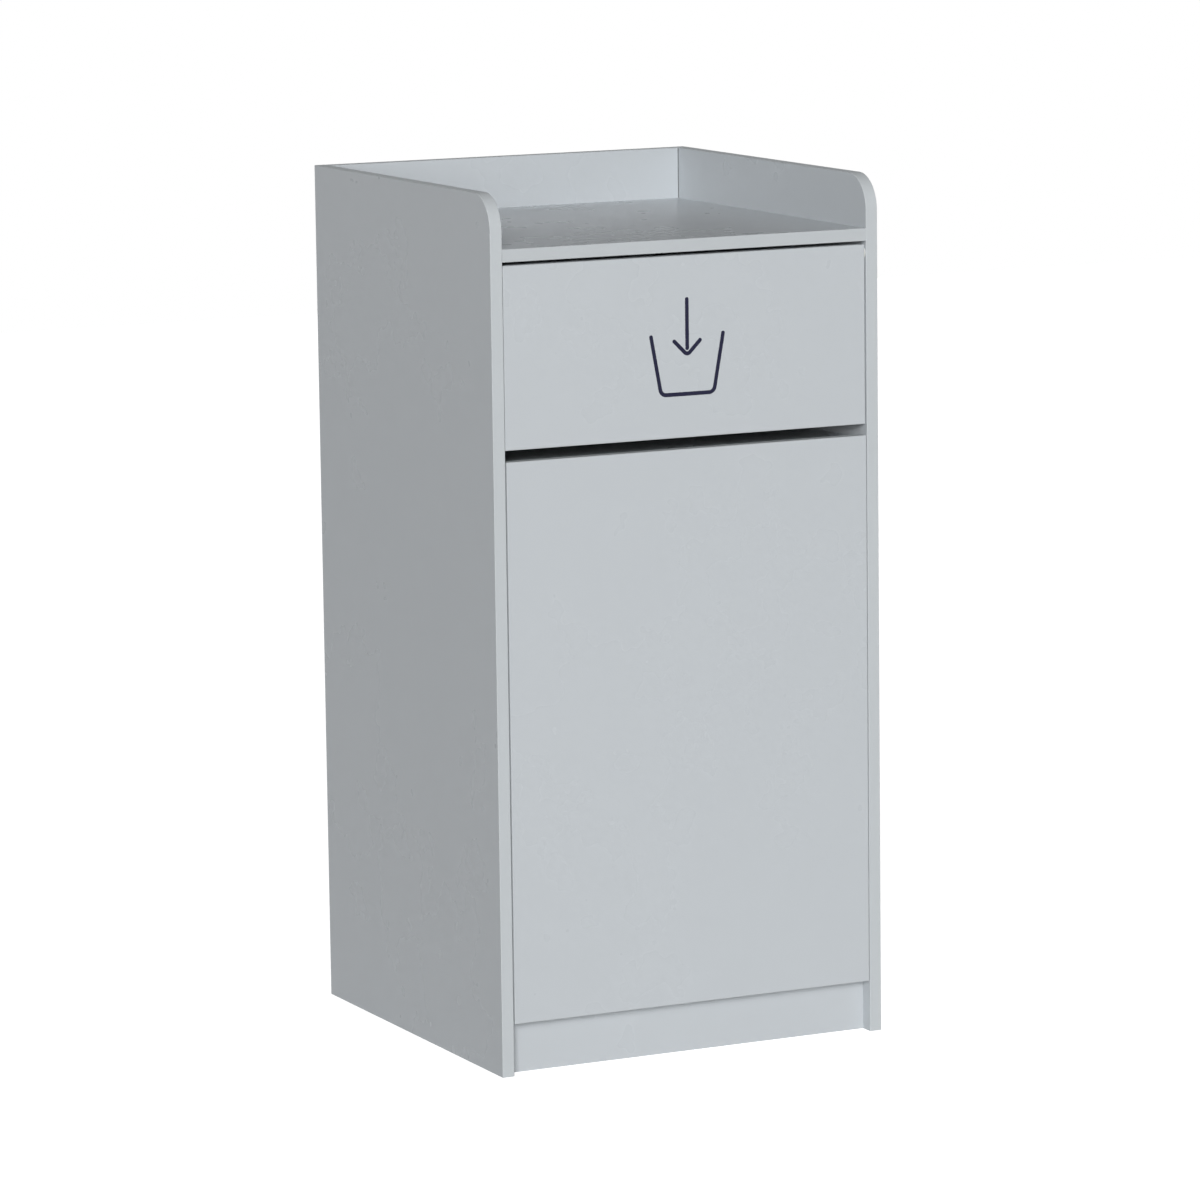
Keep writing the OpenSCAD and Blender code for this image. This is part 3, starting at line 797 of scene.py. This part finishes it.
def place_piece(piece: Piece, material: Material, body: Body,
                node: str | None = None) -> None:
    """Dress a new piece and say what it rides on and stands for.

    Args:
        piece: The new piece.
        material: Its finish.
        body: The body that carries it.
        node: CAD node that it stands for, or none.
    """
    piece.data.materials.append(material)
    if node:
        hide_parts(node)
    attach(piece, body.value)
    LOG.info("%s on %s, %d faces", piece.name, body.value, len(piece.data.polygons))


@dataclass
class CrossRail:
    """Flat board behind the door's top edge that braces the sides.

    Its lit front is what the gap under the flap shows. It stands far enough behind the door
    for the door's hinge edge, which turns inward as the door opens.
    """

    board: float = 18.0 * MM
    depth: float = 130.0 * MM
    drop: float = 7.0 * MM
    door_gap: float = 14.5 * MM
    side_gap: float = 0.1 * MM
    arris: float = 0.3 * MM

    def build(self, groups: EffectGroups, finish: MelamineFinish, band: Material) -> None:
        """Make the board as a tube along X with eased corners, and its front band.

        Args:
            groups: The shared effects.
            finish: Finish of the boards.
            band: Finish of the edge bands.
        """
        inner_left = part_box("left_side_panel")[1].x + self.side_gap
        inner_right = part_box("right_side_panel")[0].x - self.side_gap
        door_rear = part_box("door_panel")[1].y
        strip = EdgeBand()
        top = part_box("door_edge_bands")[1].z - self.drop
        low, middle = top - self.board, top - self.board / 2
        front = door_rear + self.door_gap + strip.thickness
        rear = door_rear + self.door_gap + self.depth
        cut = self.arris
        corners = [(front, low), (front, top), (rear - cut, top), (rear, top - cut),
                   (rear, low + cut), (rear - cut, low)]
        grid = np.array([[(x, y, z) for y, z in corners] for x in (inner_left, inner_right)])
        board = Solid()
        board.add_grid(grid)
        facing = finish.build("melamine_cross_rail", groups, Axis.Z, low, top)
        place_piece(board.to_object("cross_rail_board"), facing, Body.CABINET)
        edge = Solid()
        path = np.array([[inner_left, front, middle], [inner_right, front, middle]])
        strip.lay(edge, path, np.array([[0.0, -1.0, 0.0]] * 2), Axis.Z, self.board)
        place_piece(edge.to_object("cross_rail_band"), band, Body.CABINET)


@dataclass
class LinerBin:
    """Moulded tub whose corner radius grows with height, with a turned down rim."""

    radius_low: float = 36.0 * MM
    radius_high: float = 64.0 * MM
    wall: float = 3.0 * MM
    rim_width: float = 14.0 * MM
    lip: float = 18.0 * MM
    foot_recess: float = 6.0 * MM
    foot_width: float = 12.0 * MM
    floor_fillet: float = 16.0 * MM
    foot_fillet: float = 5.0 * MM
    bead: float = 1.4 * MM
    bead_steps: int = 4
    lip_share: float = 0.98
    lip_steps: int = 6
    foot_steps: int = 5
    floor_steps: int = 6
    ring_steps: int = 3
    under_step: float = 8.0 * MM
    corner_steps: int = 14
    sharp: float = 50.0

    def section(self, height: float) -> np.ndarray:
        """Outline of the wall as (corner radius, height), from the underside to the floor.

        Args:
            height: Height of the bin.

        Returns:
            Points with the shape (n, 2).
        """
        slope = (self.radius_high - self.radius_low) / height
        lean = math.degrees(math.atan(slope))
        floor_z = self.foot_recess + self.wall
        bead, rim = self.bead, self.radius_high + self.rim_width
        lip_z = height - self.lip
        under_z = height - self.wall
        outer = self.radius_low + slope * self.foot_fillet
        foot = arc((outer - self.foot_fillet, self.foot_fillet), self.foot_fillet,
                   -90, -lean, self.foot_steps)
        low_bead = (self.wall / 2) * self.lip_share
        lip_end = arc((rim - self.wall / 2, lip_z + low_bead), low_bead, 180, 360,
                      self.lip_steps)
        top_out = arc((rim - bead, height - bead), bead, 0, 90, self.bead_steps)
        inner_top = self.radius_high - self.wall
        top_in = arc((inner_top + bead, height - bead), bead, 90, 180, self.bead_steps)
        inner_low = self.radius_low + slope * (floor_z + self.floor_fillet) - self.wall
        bottom = arc((inner_low - self.floor_fillet, floor_z + self.floor_fillet),
                     self.floor_fillet, -lean, -90, self.floor_steps)
        recess = self.radius_low - self.foot_width
        under = [(recess - self.under_step, self.foot_recess),
                 (recess - bead, self.foot_recess)]
        ring = arc((recess - bead, self.foot_recess - bead), bead, 90, 0, self.ring_steps)
        join = [(self.radius_high - slope * self.wall, under_z)]
        fold = [(rim - self.wall, under_z)]
        rest = [(inner_low - 2 * self.floor_fillet, floor_z)]
        return np.concatenate([
            under, ring, [(recess, 0.0)], foot, join, fold, lip_end, top_out, top_in,
            bottom, rest])

    def build(self, material: Material) -> None:
        """Make the tub: core corner plus radius times the unit direction, at each height.

        Args:
            material: Finish of the bin.
        """
        low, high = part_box("waste_bin")
        reach = self.radius_high + self.rim_width
        core = np.array([(high.x - low.x) / 2 - reach, (high.y - low.y) / 2 - reach])
        middle = np.array([(low.x + high.x) / 2, (low.y + high.y) / 2])
        turn = np.radians(np.concatenate([
            np.linspace(90 * k, 90 * (k + 1), self.corner_steps + 1) for k in range(4)]))
        signs = np.repeat(np.array([[1, 1], [-1, 1], [-1, -1], [1, -1]]),
                          self.corner_steps + 1, axis=0)
        way = np.stack([np.cos(turn), np.sin(turn)], axis=1)
        outline = self.section(high.z - low.z)
        flat = middle + signs * core + outline[:, None, :1] * way
        heights = np.broadcast_to(low.z + outline[:, None, 1:], (*flat.shape[:2], 1))
        solid = Solid()
        solid.add_grid(np.concatenate([flat, heights], axis=2))
        piece = solid.to_object("liner_bin_moulded", self.sharp)
        place_piece(piece, material, Body.CABINET, "waste_bin")


@dataclass
class BinSign:
    """Plain sign on the flap: an open bin with an arrow that points down into it."""

    stroke: float = 5.6 * MM
    film: float = 0.12 * MM
    bin_top: float = 112.0 * MM
    bin_foot: float = 82.0 * MM
    bin_height: float = 82.0 * MM
    bin_corner: float = 9.0 * MM
    drop: float = 50.0 * MM
    shaft: float = 64.0 * MM
    head: float = 20.0 * MM
    gap: float = 4.0 * MM
    end_steps: int = 8
    end_turn: float = 88.0

    def rounded(self, corners: list[Pair], radius: float) -> np.ndarray:
        """Line through the corners with each inner corner replaced by an arc.

        The arc touches both lines at radius divided by the tangent of half the corner's angle.

        Args:
            corners: Points of the line.
            radius: Radius of the arcs.

        Returns:
            Points with the shape (n, 2).
        """
        spots = np.array(corners)
        share = np.linspace(0, 1, self.end_steps + 1)[:, None]
        pieces = [spots[:1]]
        for a, b, c in zip(spots, spots[1:], spots[2:]):
            u, v = unit(a - b), unit(c - b)
            half = math.acos(float(np.clip(u @ v, -1, 1))) / 2
            middle = b + unit(u + v) * radius / math.sin(half)
            start = b + u * radius / math.tan(half) - middle
            end = b + v * radius / math.tan(half) - middle
            pieces.append(middle + radius * unit(start * (1 - share) + end * share))
        return np.concatenate([*pieces, spots[-1:]])

    def ribbon(self, solid: Solid, line: np.ndarray, y: float) -> None:
        """Add a raised stroke with round ends.

        The half width falls to zero at each end as the square root of one minus the square of the
        distance past the end over the half width.

        Args:
            solid: What the stroke is added to.
            line: Points of the stroke's middle line as (x, z).
            y: Face that the stroke lies on.
        """
        half = self.stroke / 2
        step = unit(np.diff(line, axis=0))
        way = unit(np.concatenate([step[:1], step[:-1] + step[1:], step[-1:]]))
        stretch = 1 / np.einsum("ij,ij->i", way, np.concatenate([step[:1], step]))
        share = np.sin(np.radians(np.linspace(0, self.end_turn, self.end_steps)))
        width = half * np.sqrt(1 - share ** 2)
        head = line[0] - step[0] * half * share[::-1, None]
        tail = line[-1] + step[-1] * half * share[:, None]
        middle = np.concatenate([head, line[1:-1], tail])
        ways = np.concatenate([np.repeat(step[:1], len(head), 0), way[1:-1],
                               np.repeat(step[-1:], len(tail), 0)])
        widths = np.concatenate([width[::-1], half * stretch[1:-1], width])
        normal = np.stack([-ways[:, 1], ways[:, 0]], axis=1) * widths[:, None]
        left, right = middle + normal, middle - normal
        front, rear = y - self.film, y
        ring = [(left, rear), (left, front), (right, front), (right, rear)]
        grid = np.stack([
            np.stack([p[:, 0], np.full(len(p), d), p[:, 1]], axis=1) for p, d in ring], axis=1)
        solid.add_grid(grid)

    def build(self, material: Material) -> None:
        """Draw the sign in the middle of the flap.

        Args:
            material: The ink.
        """
        low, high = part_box("flap_panel")
        x, z = (low.x + high.x) / 2, (low.z + high.z) / 2
        foot_z = z - (self.bin_height + self.drop) / 2
        top_z = foot_z + self.bin_height
        tip_z = top_z + self.drop - self.shaft - self.gap - self.head / 2
        tub = [(x - self.bin_top / 2, top_z), (x - self.bin_foot / 2, foot_z),
               (x + self.bin_foot / 2, foot_z), (x + self.bin_top / 2, top_z)]
        arrow = [(x - self.head, tip_z + self.head), (x, tip_z),
                 (x + self.head, tip_z + self.head)]
        shaft_end = tip_z + self.stroke + self.gap
        shaft = np.array([(x, top_z + self.drop), (x, shaft_end)])
        solid = Solid()
        for line in (self.rounded(tub, self.bin_corner), self.rounded(arrow, self.stroke), shaft):
            self.ribbon(solid, line, low.y)
        place_piece(solid.to_object("bin_sign"), material, Body.FLAP)


@dataclass
class BoardCase:
    """The melamine boards and their fittings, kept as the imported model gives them."""

    finish: MelamineFinish = field(default_factory=MelamineFinish)
    boards: dict[str, Axis] = field(default_factory=lambda: {
        "left_side_panel": Axis.X, "right_side_panel": Axis.X, "back_panel": Axis.Y,
        "tray_shelf": Axis.Z, "bottom_deck": Axis.Z, "toe_kick": Axis.Y,
        "door_panel": Axis.Y, "flap_panel": Axis.Y})
    steel: tuple[str, ...] = (
        "cam_bolts", "hinge_plates", "hinge_plate_screws", "hinge_arms", "catch_screws",
        "hinge_cups", "hinge_cup_screws", "hinge_pins", "strike_plate", "strike_screw",
        "flap_pins")
    zinc: tuple[str, ...] = ("cam_locks", "hinge_arm_screws")
    nylon: tuple[str, ...] = ("flap_bushes", "catch_housing")
    ferrite: tuple[str, ...] = ("catch_magnet",)
    beech: tuple[str, ...] = ("dowels",)

    def dress(self, node: str, material: Material) -> None:
        """Put a material on every slot of a CAD node.

        Args:
            node: Name of the node.
            material: Its finish.
        """
        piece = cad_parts[node]
        if not piece.material_slots:
            piece.data.materials.append(material)
        for slot in piece.material_slots:
            slot.material = material
        LOG.info("%s wears %s", node, material.name)

    def build(self, groups: EffectGroups) -> None:
        """Dress the boards and the small fittings.

        Args:
            groups: The shared effects.
        """
        for node, axis in self.boards.items():
            low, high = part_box(node)
            joint = high.x if node == "back_panel" else None
            self.dress(node, self.finish.build(
                f"melamine_{node}", groups, axis, low[axis.value], high[axis.value], joint))
        plated = MetalFinish(tone=srgb(205, 206, 208), rough=(0.21, 0.33),
                             grain_scale=1500.0, grain_depth=0.01 * MM)
        cast = MetalFinish(tone=srgb(150, 152, 156), rough=(0.41, 0.53),
                           grain_scale=700.0, grain_depth=0.05 * MM)
        black = MetalFinish(tone=srgb(62, 62, 66), rough=(0.5, 0.62),
                            grain_scale=900.0, grain_depth=0.04 * MM)
        white = PlasticFinish(tone=srgb(232, 232, 227), rubbed=srgb(205, 205, 200),
                              rough=(0.39, 0.51), grain_scale=1300.0, grain_depth=0.02 * MM)
        fittings = [
            (self.steel, "nickel_plated_steel", plated),
            (self.zinc, "die_cast_zinc", cast),
            (self.ferrite, "ferrite_magnet", black),
            (self.nylon, "white_nylon", white),
            (self.beech, "turned_beech", BeechFinish()),
        ]
        for nodes, name, finish in fittings:
            material = finish.build(name, groups)
            for node in nodes:
                self.dress(node, material)


@dataclass
class StudioCamera:
    """Camera at the photograph's angle: where it aims, from which side and how far."""

    aim: Triple = (0.0055, 0.0, 0.6078)
    azimuth: float = -25.94
    elevation: float = 8.98
    roll: float = -0.73
    distance: float = 8.368
    focal_pixels: float = 5796.0
    picture_pixels: float = 1200.0
    sensor: float = 36.0

    def build(self) -> None:
        """Make the camera from its sight line, its level right hand and its roll."""
        data = bpy.data.cameras.new("studio_camera")
        data.sensor_width = self.sensor
        data.lens = self.sensor * self.focal_pixels / self.picture_pixels
        a, r = math.radians(self.azimuth), math.radians(self.roll)
        back = sight(self.azimuth, self.elevation)
        level = Vector((math.cos(a), math.sin(a), 0.0))
        upright = back.cross(level)
        right = math.cos(r) * level + math.sin(r) * upright
        up = -math.sin(r) * level + math.cos(r) * upright
        turn = Matrix((right, up, back)).transposed().to_4x4()
        camera = add_object("studio_camera", data)
        camera.matrix_world = Matrix.Translation(Vector(self.aim) + back * self.distance) @ turn
        bpy.context.scene.camera = camera


@dataclass(frozen=True)
class SoftBox:
    """One square soft lamp that faces the middle of the cabinet from far away.

    The level is the brightness that it gives a white face turned toward it. The lamp is kept
    out of reflections, so that it leaves no white patch on the tray in any view.
    """

    name: str
    azimuth: float
    elevation: float
    level: float
    size: float = 17.0
    distance: float = 40.0
    aim: Triple = (0.0, 0.0, 0.65)

    def build(self) -> None:
        """Make the lamp. Its power is its level times pi squared times its distance squared."""
        data = bpy.data.lights.new(self.name, "AREA")
        data.size = self.size
        data.energy = self.level * math.pi ** 2 * self.distance ** 2
        lamp = add_object(self.name, data)
        lamp.visible_glossy = False
        way = sight(self.azimuth, self.elevation)
        turn = (-way).to_track_quat("-Z", "Y").to_matrix().to_4x4()
        lamp.matrix_world = Matrix.Translation(Vector(self.aim) + way * self.distance) @ turn


@dataclass
class Studio:
    """White surroundings, a pale floor, two large key lamps and a fill lamp behind.

    The reflected room is given as angles above the horizon with their brightness: a grey
    ground, a brighter horizon, a dim wall and a pale ceiling.
    """

    ambient: float = 0.07
    room: tuple[Pair, ...] = (
        (-3.0, 0.45), (-1.0, 0.7), (3.0, 0.6), (7.0, 0.1), (22.0, 0.1), (32.0, 0.9))
    floor_tone: float = 0.6
    floor_lift: float = 0.85
    floor_glint: float = 0.18
    floor_half: float = 9.0
    lamps: tuple[SoftBox, ...] = (
        SoftBox("low_key_softbox", -27.8, 13.0, 0.568),
        SoftBox("high_key_softbox", -27.8, 21.0, 0.462),
        SoftBox("fill_softbox", 130.0, 8.0, 0.70),
    )

    @staticmethod
    def _rays(sheet: Sheet) -> tuple[Socket, Socket]:
        """Tell the rays of the camera and of reflections from the others.

        Args:
            sheet: Sheet of the world or of the floor.

        Returns:
            Two values that are 1: for camera rays, and for glossy or transmission rays.
        """
        path = sheet.node("ShaderNodeLightPath")
        shiny = sheet.math("MAXIMUM", path.outputs["Is Glossy Ray"],
                           path.outputs["Is Transmission Ray"])
        return path.outputs["Is Camera Ray"], shiny

    def _world(self) -> None:
        """World that is white to the eye and a room in reflections.

        The place on the ramp is a half plus half the sine of the angle above the horizon.
        Where the world only lights a surface, it has the low ambient strength.
        """
        world = bpy.data.worlds.new("studio_world")
        world.use_nodes = True
        sheet = Sheet(world.node_tree)
        way = sheet.node("ShaderNodeTexCoord").outputs["Generated"]
        height = sheet.node("ShaderNodeSeparateXYZ", {0: way}).outputs["Z"]
        camera, shiny = self._rays(sheet)
        ramp = sheet.node("ShaderNodeValToRGB", {0: sheet.remap(height, (-1.0, 1.0))})
        stops = ramp.color_ramp.elements
        stops.remove(stops[0])
        for number, (angle, brightness) in enumerate(self.room):
            place = (1 + math.sin(math.radians(angle))) / 2
            stop = stops.new(place) if number else stops[0]
            stop.position = place
            stop.color = scaled(WHITE, brightness)
        mix = sheet.node("ShaderNodeMix", {0: shiny, 2: self.ambient, 3: ramp.outputs[0]})
        light = sheet.node("ShaderNodeBackground", {
            "Color": WHITE, "Strength": sheet.math("MAXIMUM", mix.outputs[0], camera)})
        sheet.node("ShaderNodeOutputWorld", {"Surface": light.outputs[0]})
        bpy.context.scene.world = world

    def _floor(self) -> None:
        """Level white floor. What the eye sees is lifted, so only the shadow stays grey."""
        half = self.floor_half
        corners = [(-half, -half, 0), (half, -half, 0), (half, half, 0), (-half, half, 0)]
        mesh = bpy.data.meshes.new("studio_floor")
        mesh.from_pydata(corners, [], [(0, 1, 2, 3)])
        floor = add_object("studio_floor", mesh)
        material = bpy.data.materials.new("studio_floor")
        material.use_nodes = True
        sheet = Sheet(material.node_tree)
        base = sheet.node("ShaderNodeBsdfDiffuse", {"Color": scaled(WHITE, self.floor_tone)})
        camera, shiny = self._rays(sheet)
        glint = sheet.math("MULTIPLY", shiny, self.floor_glint)
        lift = sheet.math("MULTIPLY_ADD", camera, self.floor_lift, glint)
        glow = sheet.node("ShaderNodeEmission", {"Strength": lift})
        both = sheet.node("ShaderNodeAddShader", {0: base.outputs[0], 1: glow.outputs[0]})
        sheet.node("ShaderNodeOutputMaterial", {"Surface": both.outputs[0]})
        mesh.materials.append(material)

    def build(self) -> None:
        """Make the world, the floor and the lamps."""
        self._world()
        self._floor()
        for lamp in self.lamps:
            lamp.build()
        bpy.context.scene.view_settings.view_transform = "Standard"


def main() -> None:
    """Build every sub-assembly in order."""
    logging.basicConfig(level=logging.INFO, format="%(name)s: %(message)s")
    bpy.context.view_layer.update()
    StudioCamera().build()
    Studio().build()
    groups = EffectGroups()
    case = BoardCase()
    case.build(groups)
    band = BandFinish().build("edge_band_plastic", groups)
    # Painted shade: the tray's band gets a darker copy of the band finish.
    tray_band = BandFinish(tone=srgb(190, 195, 198)).build("tray_band_painted_shade", groups)
    CabinetBands().build(band, tray_band)
    CrossRail().build(groups, case.finish, band)
    tub = PlasticFinish(tone=srgb(92, 96, 101), rubbed=srgb(107, 111, 115),
                        rough=(0.44, 0.56), grain_scale=800.0, grain_depth=0.05 * MM)
    LinerBin().build(tub.build("bin_polythene", groups))
    BinSign().build(InkFinish().build("sign_ink", groups))


if __name__ == "__main__":
    main()
